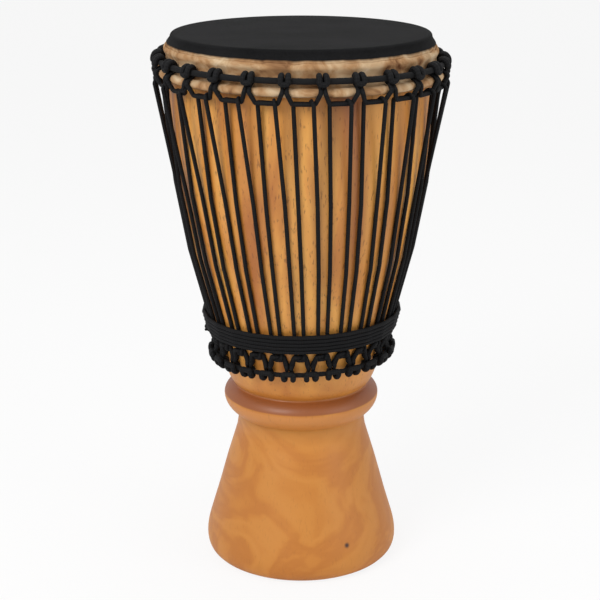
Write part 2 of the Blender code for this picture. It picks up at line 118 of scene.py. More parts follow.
RIM_RADIUS = HEAD_RADIUS - HIDE_THICKNESS - CLEARANCE

# %% [markdown]
# The photograph was taken from a little above the drum, with a long lens. The camera's distance,
# height and pitch were fitted to the outline of the head, the bowl and the foot.

# %% Camera
CAMERA_DISTANCE = 1.653
CAMERA_HEIGHT = 0.818
CAMERA_PITCH = 17.42
FOCAL_PIXELS = 1539.3
IMAGE_WIDTH = 600
AXIS_PIXEL = 301.1           # where the drum's axis stands across the photograph
SENSOR = 36.0                # in millimetres

scene = bpy.context.scene
camera_data = bpy.data.cameras.new("camera")
camera_data.sensor_width = SENSOR
camera_data.lens = SENSOR * FOCAL_PIXELS / IMAGE_WIDTH
camera_data.shift_x = (IMAGE_WIDTH / 2 - AXIS_PIXEL) / IMAGE_WIDTH
camera = bpy.data.objects.new("camera", camera_data)
camera.location = (0.0, -CAMERA_DISTANCE, CAMERA_HEIGHT)
camera.rotation_euler = (math.radians(90.0 - CAMERA_PITCH), 0.0, 0.0)
scene.collection.objects.link(camera)
scene.camera = camera
print("the lens is", round(camera_data.lens, 1), "mm long")

# %% [markdown]
# Shader sums are easier to read as sums. This small class stands for one output of a node: adding to
# it or multiplying it adds the Math node that does so. Every other node comes from its node method,
# which takes the node's type, its settings and the values or wires of its sockets.


# %% Writing shaders as sums
class Wire:
    """One output of a shader node."""

    def __init__(self, tree, socket=None):
        self.tree = tree
        self.socket = socket

    def node(self, kind, settings=None, sockets=None, output=0):
        made = self.tree.nodes.new(kind)
        for name, value in (settings or {}).items():
            if name == "stops":
                while len(made.color_ramp.elements) < len(value):
                    made.color_ramp.elements.new(0.5)
                for element, (place, colour) in zip(made.color_ramp.elements, value):
                    element.position = place
                    element.color = (*colour, 1.0)
            else:
                setattr(made, name, value)
        for name, value in (sockets or {}).items():
            if isinstance(value, Wire):
                self.tree.links.new(value.socket, made.inputs[name])
            else:
                made.inputs[name].default_value = value
        return Wire(self.tree, made.outputs[output])

    def math(self, operation, *others):
        values = [self, *others]
        return self.node("ShaderNodeMath", {"operation": operation}, dict(enumerate(values)))

    def __add__(self, other):
        return self.math("ADD", other)

    __radd__ = __add__

    def __mul__(self, other):
        return self.math("MULTIPLY", other)

    __rmul__ = __mul__

    def __sub__(self, other):
        return self.math("SUBTRACT", other)

    def __rsub__(self, other):
        return (self * -1.0) + other

    def ramp(self, low, high):
        """0 at low, 1 at high, soft between."""
        return self.node("ShaderNodeMapRange", {"interpolation_type": "SMOOTHSTEP"},
                         {"Value": self, "From Min": low, "From Max": high}, "Result")

    def colours(self, *stops):
        return self.node("ShaderNodeValToRGB", {"stops": stops}, {"Fac": self}, "Color")

    def blend(self, first, second):
        """first where this is 0 and second where it is 1, both colours."""
        first = first if isinstance(first, Wire) else (*first, 1.0)
        second = second if isinstance(second, Wire) else (*second, 1.0)
        return self.node("ShaderNodeMix", {"data_type": "RGBA"}, {0: self, 6: first, 7: second}, 2)

    def noise(self, scale, detail=3.0, roughness=0.5, distortion=0.0):
        return self.node("ShaderNodeTexNoise", None,
                         {"Vector": self, "Scale": scale, "Detail": detail, "Roughness": roughness,
                          "Distortion": distortion}, "Fac")

    def stretched(self, scale):
        return self.node("ShaderNodeMapping", None, {"Vector": self, "Scale": scale}, "Vector")

    def axis(self, number):
        return self.node("ShaderNodeSeparateXYZ", None, {"Vector": self}, number)


def start_material(name):
    """A new material, its shader, and a wire that holds the place on the piece."""
    material = bpy.data.materials.new(name)
    material.use_nodes = True
    place = Wire(material.node_tree).node("ShaderNodeTexCoord", output="Object")
    return material, material.node_tree.nodes["Principled BSDF"], place


def feed(shader, socket, wire):
    wire.tree.links.new(wire.socket, shader.inputs[socket])


def fix(shader, values):
    """Sets what stays the same all over the piece."""
    for socket, value in values.items():
        shader.inputs[socket].default_value = value


def bump(shader, height, distance, strength):
    sockets = {"Strength": strength, "Distance": distance, "Height": height}
    feed(shader, "Normal", height.node("ShaderNodeBump", None, sockets, "Normal"))


# %% [markdown]
# A studio photograph on white has a big soft light on one side, a weaker one on the other and a
# little light from above. The three lamps all point at the middle of the drum.

# %% Lamps
LAMPS = {                    # each lamp's place, width and watts
    "key_light": ((-1.3, -1.7, 1.9), 1.2, 38.0),
    "fill_light": ((1.9, -1.2, 1.1), 1.4, 13.0),
    "top_light": ((0.2, 0.4, 2.3), 1.4, 9.0),
}
LIT_PLACE = Vector((0.0, 0.0, DRUM_HEIGHT / 2))

scene.view_settings.view_transform = "Standard"
for lamp_name, (lamp_place, width, watts) in LAMPS.items():
    lamp = bpy.data.lights.new(lamp_name, "AREA")
    lamp.size = width
    lamp.energy = watts
    lamp_object = bpy.data.objects.new(lamp_name, lamp)
    lamp_object.location = lamp_place
    lamp_object.rotation_euler = (LIT_PLACE - Vector(lamp_place)).to_track_quat("-Z", "Y").to_euler()
    scene.collection.objects.link(lamp_object)
    print(lamp_name, watts, "W")

# %% [markdown]
# The world and the floor look white to the camera, but their light on the drum stays plain, so that
# its colours come out as they are written. The Light Path node tells the two apart. The floor isn't
# all glow, so it still takes the drum's shadow.

# %% World and floor
WHITE = (1.0, 1.0, 1.0, 1.0)
WORLD_ON_DRUM = 0.45         # the world's strength as a light on the drum
WORLD_SEEN = 1.0             # and as the camera and shiny surfaces see it
FLOOR_HALF = 6.0
FLOOR_DROP = 0.0004          # the floor lies this far under the foot
FLOOR_COLOUR = (0.93, 0.93, 0.93, 1.0)
FLOOR_ROUGHNESS = 0.9
FLOOR_GLOW = 0.86            # how much of the floor the camera sees as plain white

world = bpy.data.worlds.new("studio")
world.use_nodes = True
world.node_tree.nodes.clear()
scene.world = world
sky = Wire(world.node_tree)
seen = sky.node("ShaderNodeLightPath", output="Is Camera Ray")
seen = seen.math("MAXIMUM", sky.node("ShaderNodeLightPath", output="Is Glossy Ray"))
strength = sky.node("ShaderNodeMapRange", None,
                    {"Value": seen, "To Min": WORLD_ON_DRUM, "To Max": WORLD_SEEN}, "Result")
background = sky.node("ShaderNodeBackground", None, {"Color": WHITE, "Strength": strength})
feed(world.node_tree.nodes.new("ShaderNodeOutputWorld"), "Surface", background)

floor_shape = bmesh.new()
bmesh.ops.create_grid(floor_shape, x_segments=1, y_segments=1, size=FLOOR_HALF)
floor_mesh = bpy.data.meshes.new("floor")
floor_shape.to_mesh(floor_mesh)
floor_shape.free()
floor = bpy.data.objects.new("floor", floor_mesh)
floor.location.z = -FLOOR_DROP
scene.collection.objects.link(floor)
floor_paint, matt, start = start_material("floor_paint")
fix(matt, {"Base Color": FLOOR_COLOUR, "Roughness": FLOOR_ROUGHNESS})
seen = start.node("ShaderNodeLightPath", output="Is Camera Ray") * FLOOR_GLOW
glow = start.node("ShaderNodeEmission")
mixed = start.node("ShaderNodeMixShader", None, {0: seen, 1: Wire(start.tree, matt.outputs[0]), 2: glow})
feed(floor_paint.node_tree.nodes["Material Output"], "Surface", mixed)
floor_mesh.materials.append(floor_paint)

# %% [markdown]
# The wood is golden and oiled. On the bowl its grain runs up and down, with yellow, orange and a few
# purple-brown streaks, and short dark pores. On the foot the same grain is cut across by the flare,
# so it shows as soft wavy bands, with one small knot near the front. The top of the collar is painted
# a darker brown, and the collar's lower lip is painted lighter than the foot, as a painted highlight.

# %% Oiled wood
BOWL_GRAIN = ((0.30, (0.42, 0.135, 0.022)), (0.46, (0.62, 0.250, 0.045)),
              (0.62, (0.78, 0.370, 0.075)), (0.78, (0.70, 0.260, 0.050)))
FOOT_GRAIN = ((0.24, (0.47, 0.155, 0.016)), (0.55, (0.54, 0.198, 0.024)), (0.86, (0.58, 0.230, 0.034)))
PURPLE_BROWN = (0.26, 0.080, 0.028)
# the top of the collar is painted a darker brown
DARK_COLLAR_TOP = (0.27, 0.075, 0.014)
# painted highlight: the collar's lower lip, under its ridge, is painted lighter than the foot
COLLAR_LIP_HIGHLIGHT = (0.56, 0.215, 0.045)
PORE_BROWN = (0.16, 0.045, 0.010)
KNOT_BROWN = (0.030, 0.008, 0.004)
KNOT_PLACE = (0.0517, -0.0932, 0.0410)
KNOT_EDGE = (0.0010, 0.0045)
GRAIN_CHANGE = (0.19, 0.26)  # between these heights the foot's grain gives way to the bowl's
PORE_CHANGE = (0.16, 0.30)   # and here the pores grow more
DARK_COLLAR_TOP_BAND = ((0.1925, 0.1945), (0.2040, 0.2090))
COLLAR_LIP_HIGHLIGHT_BAND = ((0.1715, 0.1735), (0.1900, 0.1935))
FOOT_LINES = 26.0            # closeness of the foot's wavy lines


def band(height, fade_in, fade_out):
    """1 between two heights, with a fade at each."""
    return height.ramp(*fade_in) * (1.0 - height.ramp(*fade_out))


def oiled_wood():
    material, shader, place = start_material("oiled_wood")
    height = place.axis(2)
    streak = place.stretched((1.0, 1.0, 0.10)).noise(scale=26.0, detail=4.0, roughness=0.55, distortion=0.6)
    wide = place.stretched((1.0, 1.0, 0.16)).noise(scale=9.0, detail=2.0, roughness=0.5, distortion=0.3)
    bowl = wide.ramp(0.58, 0.72).blend(streak.colours(*BOWL_GRAIN), PURPLE_BROWN)
    bands = place.stretched((1.0, 1.0, 1.7)).noise(scale=7.0, detail=3.0, roughness=0.5, distortion=1.6)
    lines = (bands * FOOT_LINES).math("SINE") * 0.5 + 0.5
    foot = (lines * 0.35 + bands * 0.75).colours(*FOOT_GRAIN)
    colour = height.ramp(*GRAIN_CHANGE).blend(foot, bowl)
    # a darker brown painted on the top of the collar
    colour = band(height, *DARK_COLLAR_TOP_BAND).blend(colour, DARK_COLLAR_TOP)
    # the painted highlight on the collar's lower lip
    colour = band(height, *COLLAR_LIP_HIGHLIGHT_BAND).blend(colour, COLLAR_LIP_HIGHLIGHT)
    pores = place.stretched((1.0, 1.0, 0.22)).noise(scale=420.0, detail=2.0, roughness=0.6)
    pore_mask = 1.0 - pores.ramp(0.30, 0.42)
    pore_share = height.ramp(*PORE_CHANGE) * 0.45 + 0.10
    colour = (pore_mask * pore_share).blend(colour, PORE_BROWN)
    knot = place.node("ShaderNodeVectorMath", {"operation": "DISTANCE"}, {0: place, 1: KNOT_PLACE}, "Value")
    colour = (1.0 - knot.ramp(*KNOT_EDGE)).blend(colour, KNOT_BROWN)
    feed(shader, "Base Color", colour)
    feed(shader, "Roughness", streak * 0.20 + 0.38)
    fix(shader, {"Coat Weight": 0.08, "Coat Roughness": 0.25})
    tool_marks = place.noise(scale=34.0, detail=2.0, roughness=0.4)
    bump(shader, tool_marks + pores * 0.10, distance=0.0012, strength=0.5)
    return material


WOOD = oiled_wood()

# %% [markdown]
# The head is black short-haired hide. Below the crown hoop and on the turned-up cuff it is shaved to
# the skin, which is tan and cream with brown blotches.

# %% Black and shaved hide
SHAVED_RADIUS = 0.1440       # past this distance from the axis the hide is shaved
SHAVED_FADE = 0.0004
SHAVED_SKIN = ((0.28, (0.12, 0.045, 0.020)), (0.44, (0.42, 0.235, 0.110)),
               (0.60, (0.60, 0.430, 0.260)), (0.80, (0.76, 0.620, 0.440)))
BLACK_HAIR = ((0.34, (0.003, 0.003, 0.003)), (0.80, (0.016, 0.016, 0.017)))


def hide_finish():
    material, shader, place = start_material("hide")
    x, y = place.axis(0), place.axis(1)
    radius = (x * x + y * y).math("SQRT")
    blotch = place.noise(scale=34.0, detail=4.0, roughness=0.6, distortion=0.8)
    fine = place.noise(scale=900.0, detail=3.0, roughness=0.7)
    cloud = place.stretched((0.5, 1.0, 1.0)).noise(scale=22.0, detail=4.0, roughness=0.65)
    black = (fine * 0.6 + cloud * 0.5).colours(*BLACK_HAIR)
    shaved = radius.ramp(SHAVED_RADIUS - SHAVED_FADE, SHAVED_RADIUS + SHAVED_FADE)
    feed(shader, "Base Color", shaved.blend(black, blotch.colours(*SHAVED_SKIN)))
    fix(shader, {"Roughness": 0.85, "Specular IOR Level": 0.06})
    bump(shader, fine * 0.8 + blotch, distance=0.0007, strength=0.7)
    return material


HIDE = hide_finish()

# %% [markdown]
# Every cord is a black braid 4 mm thick. A braid's strands cross in small diamonds, which are two sets
# of helical waves multiplied. Each cord's mesh carries how far along it a point lies and which way
# round, so the pattern follows the cord wherever it bends. The cloth on the hoops is black as well,
# and the hoops inside it are plain steel.

# %% Braid, cloth and steel
STRANDS = 4.0                # waves round the cord in each of the two sets
BRAID_TURN = 2.4             # radians of the pattern per cord radius of length
BRAID_SHADES = ((0.0, (0.0015, 0.0015, 0.0018)), (1.0, (0.009, 0.009, 0.010)))
CLOTH_SHADES = ((0.2, (0.002, 0.002, 0.002)), (0.9, (0.010, 0.010, 0.011)))
STEEL_SHADES = ((0.0, (0.30, 0.30, 0.30)), (1.0, (0.45, 0.45, 0.45)))


def braid_finish():
    material, shader, start = start_material("black_braid")
    mark = start.node("ShaderNodeAttribute", {"attribute_name": "braid"}, output="Vector")
    along = mark.axis(0) * BRAID_TURN
    turn = mark.axis(1).math("ARCTAN2", mark.axis(2)) * STRANDS
    weave = (turn + along).math("SINE") * (turn - along).math("SINE")
    shade = weave * 0.5 + 0.5
    feed(shader, "Base Color", shade.colours(*BRAID_SHADES))
    fix(shader, {"Roughness": 0.70, "Specular IOR Level": 0.14})
    bump(shader, shade, distance=0.0003, strength=0.8)
    return material


def cloth_finish():
    material, shader, place = start_material("black_cloth")
    weave = place.noise(scale=1500.0, detail=2.0, roughness=0.6)
    feed(shader, "Base Color", weave.colours(*CLOTH_SHADES))
    fix(shader, {"Roughness": 0.85, "Specular IOR Level": 0.20})
    bump(shader, weave, distance=0.0003, strength=0.6)
    return material


def steel_finish(name):
    material, shader, place = start_material(name)
    feed(shader, "Base Color", place.noise(scale=300.0).colours(*STEEL_SHADES))
    fix(shader, {"Metallic": 1.0, "Roughness": 0.4})
    return material


BRAID = braid_finish()
CLOTH = cloth_finish()

# %% [markdown]
# A finished piece is a mesh object at the origin. This helper gives it its material, lets it ride on
# the drum's one body and hides the frame's solids that it stands for.


# %% Finishing a piece
def finish_piece(name, mesh, material, slot, *nodes):
    mesh.materials.clear()
    mesh.materials.append(material)
    mesh.shade_smooth()
    piece = bpy.data.objects.new(name, mesh)
    scene.collection.objects.link(piece)
    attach(piece, "root")
    if nodes:
        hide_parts(*nodes)
    print(name, len(mesh.vertices), "vertices")
    return piece


# %% [markdown]
# Three kinds of piece are turned shapes: the shell, the hide and the cloth sleeves. Each starts as an
# outline of distances from the axis and heights, made of straight lines, curves and arcs. A full spin
# round the axis makes its surface, and merging what lies doubled closes its seam.


# %% Outlines and turned shapes
def straight(start, end, steps):
    """Points along a line, without its start."""
    return [tuple(first + (last - first) * step / steps for first, last in zip(start, end))
            for step in range(1, steps + 1)]


def bezier(start, pull_start, pull_end, end, steps):
    """Points along a cubic curve, without its start."""
    corners = (start, pull_start, pull_end, end)
    points = []
    for step in range(1, steps + 1):
        t = step / steps
        shares = ((1 - t) ** 3, 3 * t * (1 - t) ** 2, 3 * t * t * (1 - t), t ** 3)
        points.append(tuple(sum(share * corner[axis] for share, corner in zip(shares, corners))
                            for axis in (0, 1)))
    return points


def arc(centre, radius, first, last, steps):
    """Points on a circle, from one angle to another."""
    points = []
    for step in range(steps + 1):
        angle = math.radians(first + (last - first) * step / steps)
        points.append((centre[0] + radius * math.cos(angle), centre[1] + radius * math.sin(angle)))
    return points


def spun(name, outline, closed, steps):
    """Spins a line or a ring of points round the drum's axis."""
    shape = bmesh.new()
    corners = [shape.verts.new((radius, 0.0, height)) for radius, height in outline]
    edges = [shape.edges.new(pair) for pair in zip(corners, corners[1:])]
    if closed:
        edges.append(shape.edges.new((corners[-1], corners[0])))
    bmesh.ops.spin(shape, geom=corners + edges, axis=(0, 0, 1), cent=(0, 0, 0), angle=math.tau,
                   steps=steps, use_merge=True)
    bmesh.ops.remove_doubles(shape, verts=shape.verts, dist=0.00001)
    bmesh.ops.recalc_face_normals(shape, faces=shape.faces)
    mesh = bpy.data.meshes.new(name)
    shape.to_mesh(mesh)
    shape.free()
    return mesh


# %% [markdown]
# The shell's outline runs from the base ring over the flared foot, the collar with its valley and the
# straight-sided bowl to the rounded rim, and then back down the bore. Each curve is pulled towards a
# corner by a share of the way there. A slow noise moves the foot's surface a little, because it was
# carved by hand.

# %% Shell
FOOT_PULL = 0.7
COLLAR_SWEEP = (0.38, 0.12)  # shares across and up
COLLAR_BULGE = 0.52
COLLAR_ROUND = 0.48
CREASE_SWEEP = (0.5, 0.8)
LOW_BOWL_SWEEP = (0.48, 0.14)
BOWL_START_PULL = 0.4
BOWL_WALL_PULL = 0.39
BORE_PULLS = (0.4, 0.16)
THROAT_PULL = 0.75
MOUTH_PULL = 0.2
SHELL_STEPS = 192            # facets round the shell
CARVING = 0.0006
CARVING_SCALE = 22.0
CARVED_HEIGHTS = (0.004, 0.21)


def shell_outside():
    base = (BASE_RADIUS, 0.0)
    cone = (FOOT_CONE_RADIUS, FOOT_ROUND_HEIGHT)
    edge_low = (BASE_RADIUS + FOOT_PULL * (FOOT_RADIUS - BASE_RADIUS), 0.0)
    edge_high = (FOOT_RADIUS, FOOT_ROUND_HEIGHT - (FOOT_RADIUS - FOOT_CONE_RADIUS) / FOOT_TAPER)
    waist = (WAIST_RADIUS, WAIST_HEIGHT)
    neck_height = WAIST_HEIGHT - NECK_LENGTH
    neck = (FOOT_CONE_RADIUS - FOOT_TAPER * (neck_height - FOOT_ROUND_HEIGHT), neck_height)
    ridge = (COLLAR_RADIUS, COLLAR_HEIGHT)
    crease = (CREASE_RADIUS, CREASE_HEIGHT)
    start = (BOWL_START_RADIUS, BOWL_START_HEIGHT)
    belly = (BELLY_RADIUS, BELLY_HEIGHT)
    rise = COLLAR_HEIGHT - WAIST_HEIGHT
    drop = CREASE_HEIGHT - COLLAR_HEIGHT
    step = COLLAR_RADIUS - WAIST_RADIUS
    valley = COLLAR_RADIUS - CREASE_RADIUS
    low_rise = BOWL_START_HEIGHT - CREASE_HEIGHT
    grow = BOWL_START_RADIUS - CREASE_RADIUS
    back = BOWL_START_PULL * low_rise
    wall = BOWL_WALL_PULL * (BELLY_HEIGHT - BOWL_START_HEIGHT)
    line = [base] + bezier(base, edge_low, edge_high, cone, steps=14)
    line += straight(cone, neck, steps=12) + [waist]
    line += bezier(waist, (WAIST_RADIUS + COLLAR_SWEEP[0] * step, WAIST_HEIGHT + COLLAR_SWEEP[1] * rise),
                   (COLLAR_RADIUS, COLLAR_HEIGHT - COLLAR_BULGE * rise), ridge, steps=9)
    line += bezier(ridge, (COLLAR_RADIUS, COLLAR_HEIGHT + COLLAR_ROUND * drop),
                   (CREASE_RADIUS + CREASE_SWEEP[0] * valley, COLLAR_HEIGHT + CREASE_SWEEP[1] * drop),
                   crease, steps=9)
    line += bezier(crease,
                   (CREASE_RADIUS + LOW_BOWL_SWEEP[0] * grow, CREASE_HEIGHT + LOW_BOWL_SWEEP[1] * low_rise),
                   (BOWL_START_RADIUS - BOWL_SLOPE * back, BOWL_START_HEIGHT - back), start, steps=9)
    line += bezier(start, (BOWL_START_RADIUS + BOWL_SLOPE * wall, BOWL_START_HEIGHT + wall),
                   (BELLY_RADIUS, BELLY_HEIGHT - wall), belly, steps=24)
    return line + arc((RIM_RADIUS - RIM_ROUND, RIM_TOP - RIM_ROUND), RIM_ROUND, 0, 90, steps=5)


def shell_bore():
    belly = (BELLY_RADIUS - BELLY_WALL, BELLY_HEIGHT)
    throat = (THROAT_RADIUS, THROAT_HEIGHT)
    drop = BELLY_HEIGHT - THROAT_HEIGHT
    flare = FOOT_MOUTH_RADIUS - THROAT_RADIUS
    bowl = bezier(belly, (belly[0], BELLY_HEIGHT - BORE_PULLS[0] * drop),
                  (THROAT_RADIUS, THROAT_HEIGHT + BORE_PULLS[1] * drop), throat, steps=16)
    foot = bezier(throat, (THROAT_RADIUS, THROAT_HEIGHT * THROAT_PULL),
                  (FOOT_MOUTH_RADIUS - MOUTH_PULL * flare, THROAT_HEIGHT * MOUTH_PULL),
                  (FOOT_MOUTH_RADIUS, 0.0), steps=10)
    return [(RIM_RADIUS - RIM_WALL, RIM_TOP), belly] + bowl + foot


outside = shell_outside()
shell_mesh = spun("carved_shell", outside + shell_bore(), True, SHELL_STEPS)
for vertex in shell_mesh.vertices:
    spot = vertex.co
    if CARVED_HEIGHTS[0] < spot.z < CARVED_HEIGHTS[1]:
        away = Vector((spot.x, spot.y, 0.0)).normalized()
        vertex.co = spot + away * CARVING * noise.noise(spot * CARVING_SCALE)
finish_piece("carved_shell", shell_mesh, WOOD, "carved_wood", "shell")

# %% [markdown]
# The fittings aren't level: the cords pull them down a little on one side. This tips a point of the
# top chain one way and a point of the lower chain the other way, and keeps it on the wall.

# %% Tilt and places on the drum
TILT_REACH = 0.08            # the top's tilt begins this far below the upper loops
LOW_TILT_REACH = 0.12        # and the lower chain's ends this far above the winding
TILT_MARGIN = 0.01           # each is whole this far before its chain
LOWER_SLACK = 0.0006


def wall_radius(height):
    for (low_radius, low), (high_radius, high) in zip(outside, outside[1:]):
        if low <= height <= high and high > low:
            return low_radius + (high_radius - low_radius) * (height - low) / (high - low)
    return RIM_RADIUS


def smooth_step(value, low, high):
    t = min(1.0, max(0.0, (value - low) / (high - low)))
    return t * t * (3 - 2 * t)


def leaned(point):
    x, y, z = point
    top = smooth_step(z, RUN_HEIGHT - TILT_REACH, RUN_HEIGHT - TILT_MARGIN)
    top *= 1 - smooth_step(z, CROWN_HEIGHT + TILT_MARGIN, DRUM_HEIGHT)
    low = 1 - smooth_step(z, WINDING_TOP + TILT_MARGIN, WINDING_TOP + LOW_TILT_REACH)
    rise = x * (TOP_TILT * top + LOW_TILT * low)
    radius = math.hypot(x, y)
    spread = 1 + BOWL_SLOPE * low * rise / radius if radius > 0 else 1
    return Vector((x * spread, y * spread, z + rise))


def at(angle, radius, height, along=0.0):
    """A place on the drum: its angle, distance from the axis and height, moved sideways."""
    turn = math.radians(angle) + along / radius
    return leaned((radius * math.sin(turn), -radius * math.cos(turn), height))


NECK_ROOM = 2 * CLEARANCE + 2 * CORD_RADIUS * PRESSED        # for a pressed cord behind a hoop
LOWER_RADIUS = wall_radius(LOWER_HEIGHT) + NECK_ROOM + LOWER_OUTER + LOWER_SLACK
print("the lower hoop's radius is", round(LOWER_RADIUS, 4))

# %% [markdown]
# The hide is one sheet: the playing face, the side down the shell, the fold round the hidden hoop and
# the cuff that stands up behind the crown hoop. Its outline is the middle of the sheet, and a value
# that ends in PULL says how far a curve keeps its direction before it bends.

# %% Outline of the hide
SIDE_FLARE = 0.0010          # the side stands off the shell just under the playing edge
FLARE_RISE = 0.0015          # and most of all this far above the cuff's edge
FLARE_PULL = 0.0030
SIDE_PULL = 0.0060
SIDE_END_PULL = 0.0050
SIDE_END = 0.0110            # the side meets the shell this far above the hidden hoop
FOLD_ANGLES = (200, 490)
SOLID_FOLD_SIDES = 6         # the fold of the frame's solid has this many flat sides
CUFF_START = 0.0020
CUFF_STRAIGHT = 0.0035
CUFF_RISE_PULL = 0.0065
CUFF_OUT_PULL = (0.0020, 0.0062)
CUFF_BEND = (0.0026, 0.0045)
CUFF_TOP_PULL = 0.0020
CUFF_EDGE_PULL = (0.0026, 0.0010)
CUFF_EDGE = 0.0022


def hide_line():
    half = HIDE_THICKNESS / 2
    face = DRUM_HEIGHT - half
    side = HEAD_RADIUS - half
    wall = BELLY_RADIUS + CLEARANCE + half
    fold_step = (FOLD_ANGLES[1] - FOLD_ANGLES[0]) / SOLID_FOLD_SIDES
    round_rod = (FLESH_ROD / 2 + CLEARANCE + half) / math.cos(math.radians(fold_step / 2))
    behind = CROWN_RADIUS - CROWN_OUTER - NECK_ROOM - half - CUFF_SLACK
    middle = (0.0, face)
    line = [middle] + straight(middle, (side, face), steps=24)[:-1]
    line += arc((side - CREASE_ROUND, face - CREASE_ROUND), CREASE_ROUND, 90, 0, steps=6)
    edge = line[-1]
    brow = (wall + SIDE_FLARE, CUFF_HEIGHT + FLARE_RISE)
    line += bezier(edge, (edge[0], edge[1] - FLARE_PULL), (brow[0], brow[1] + FLARE_PULL), brow, steps=5)
    line += bezier(brow, (brow[0], brow[1] - SIDE_PULL), (wall, CROWN_HEIGHT + SIDE_END_PULL),
                   (wall, FLESH_HEIGHT + SIDE_END), steps=6)
    line += arc((FLESH_RADIUS, FLESH_HEIGHT), round_rod, *FOLD_ANGLES, steps=26)
    turned_up = (behind, CROWN_HEIGHT + CUFF_STRAIGHT)
    bend = (behind + CUFF_BEND[0], CUFF_HEIGHT - CUFF_BEND[1])
    line += [(behind, CROWN_HEIGHT - CUFF_START), turned_up]
    line += bezier(turned_up, (behind, CROWN_HEIGHT + CUFF_RISE_PULL),
                   (behind + CUFF_OUT_PULL[0], CUFF_HEIGHT - CUFF_OUT_PULL[1]), bend, steps=4)
    line += bezier(bend, (bend[0], CUFF_HEIGHT - CUFF_TOP_PULL),
                   (wall + CUFF_EDGE_PULL[0], CUFF_HEIGHT - CUFF_EDGE_PULL[1]),
                   (wall + CUFF_EDGE, CUFF_HEIGHT), steps=4)
    return line


# %% [markdown]
# The hide dried in place, so its cuff is wavy and its fold bulges a little between the hitches. Both
# are small moves of the spun mesh's points, and the Solidify modifier then gives the sheet its
# thickness to either side.

# %% Waves of the dried hide
HIDE_STEPS = 260             # facets round the hide
CUFF_RADII = (0.1428, 0.1438)         # the cuff begins between these distances from the axis
CUFF_FOOT = 0.002
CUFF_WAVES = ((3.0, 0.0016), (11.0, 0.0007))     # how close together and how high
WAVE_CIRCLE = 4              # the waves are read from a noise along this circle
FOLD_BULGE = 0.0007
FOLD_TUCK = 0.0002
FOLD_OUT = 0.003
FOLD_TOPS = (0.565, 0.569)   # the bulge fades out between these heights

hide_mesh = spun("hide", hide_line(), False, HIDE_STEPS)
for vertex in hide_mesh.vertices:
    spot = vertex.co
    radius = math.hypot(spot.x, spot.y)
    turn = math.atan2(spot.x, -spot.y)
    cuff = smooth_step(spot.z, CROWN_HEIGHT + CUFF_FOOT, CUFF_HEIGHT) * smooth_step(radius, *CUFF_RADII)
    round_place = Vector((math.sin(turn) * WAVE_CIRCLE, math.cos(turn) * WAVE_CIRCLE, 0))
    lift = cuff * sum(height * noise.noise(round_place * scale) for scale, height in CUFF_WAVES)
    between = 0.5 - 0.5 * math.cos((turn - math.radians(FRONT_HITCH)) * HITCHES)
    fold = smooth_step(radius, FLESH_RADIUS, FLESH_RADIUS + FOLD_OUT) * (1 - smooth_step(spot.z, *FOLD_TOPS))
    bulge = fold * (FOLD_BULGE * between - FOLD_TUCK)
    scale = 1 + bulge / radius if radius > 0 else 1.0
    vertex.co = leaned((spot.x * scale, spot.y * scale, spot.z + lift))
hide_piece = finish_piece("drum_hide", hide_mesh, HIDE, "hide", "drumhead")
skin = hide_piece.modifiers.new("Thickness", "SOLIDIFY")
skin.thickness = HIDE_THICKNESS
skin.offset = 0.0

# %% [markdown]
# Each hoop is wrapped in a strip of black cloth, whose overlapping turns show as low ridges. The rods
# inside the cloth and inside the fold of the hide are steel, and they keep the frame's own meshes.

# %% Cloth sleeves and steel hoops
WRAP_TURNS = 150
RIDGE = 0.00018
SLEEVE_SIDES = 24
SLEEVE_STEPS = 520           # facets round a sleeve


def cloth_sleeve(name, radius, height, thickness, node):
    last_side = 360 - 360 / SLEEVE_SIDES
    ring = arc((radius, height), thickness, 0, last_side, steps=SLEEVE_SIDES - 1)
    mesh = spun(name, ring, True, SLEEVE_STEPS)
    for vertex in mesh.vertices:
        spot = vertex.co
        here = math.hypot(spot.x, spot.y)
        around = math.atan2(spot.x, -spot.y)
        section = math.atan2(spot.z - height, here - radius)
        phase = (around * WRAP_TURNS + section) / math.tau % 1.0
        grow = 1 - RIDGE / thickness * phase
        here = radius + (here - radius) * grow
        rise = (spot.z - height) * grow
        vertex.co = leaned((here * math.sin(around), -here * math.cos(around), height + rise))
    return finish_piece(name, mesh, CLOTH, "cloth_strip", node)


cloth_sleeve("crown_sleeve", CROWN_RADIUS, CROWN_HEIGHT, CROWN_OUTER, "crown_hoop_wrap")
cloth_sleeve("lower_sleeve", LOWER_RADIUS, LOWER_HEIGHT, LOWER_OUTER, "lower_hoop_wrap")
for hoop_name in ("flesh_hoop", "crown_hoop", "lower_hoop"):
    steel = steel_finish(f"steel_{hoop_name}")
    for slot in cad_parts[hoop_name].material_slots:
        slot.material = steel

# %% [markdown]
# A cord is a smooth curve with a round section. Its route is a short list of places, each with its
# share of the full thickness. The curve only leans towards them, so a ring of places round a hoop
# gives a cord that just touches it. After the curve becomes a mesh, each point learns how far along
# the cord it lies.

# %% Cords
SIDES = 12
STEPS = 5                    # rings of the mesh for each place of the route
WRAP_FULLNESS = 1.30         # where a wrap lies flattened over its hoop
CRADLE_FULLNESS = 1.20       # the braid is soft, and swells between its neighbours
LACING_FULLNESS = 1.10
LONG_STRETCH = 0.0080        # a straight stretch at least this long keeps tight corners
HOLD = 0.0026                # distance from a corner within which it bends


def tightened(route, closed):
    """Adds a place on either side of each corner of a long stretch, so that the stretch stays straight."""
    places = []
    pairs = list(zip(route, route[1:] + route[:1] if closed else route[1:]))
    for (point, share), (following, next_share) in pairs:
        places.append((point, share))
        length = (following - point).length
        if length > LONG_STRETCH:
            for part in (HOLD / length, (length - HOLD) / length):
                places.append((point.lerp(following, part), share + (next_share - share) * part))
    return places if closed else places + [route[-1]]


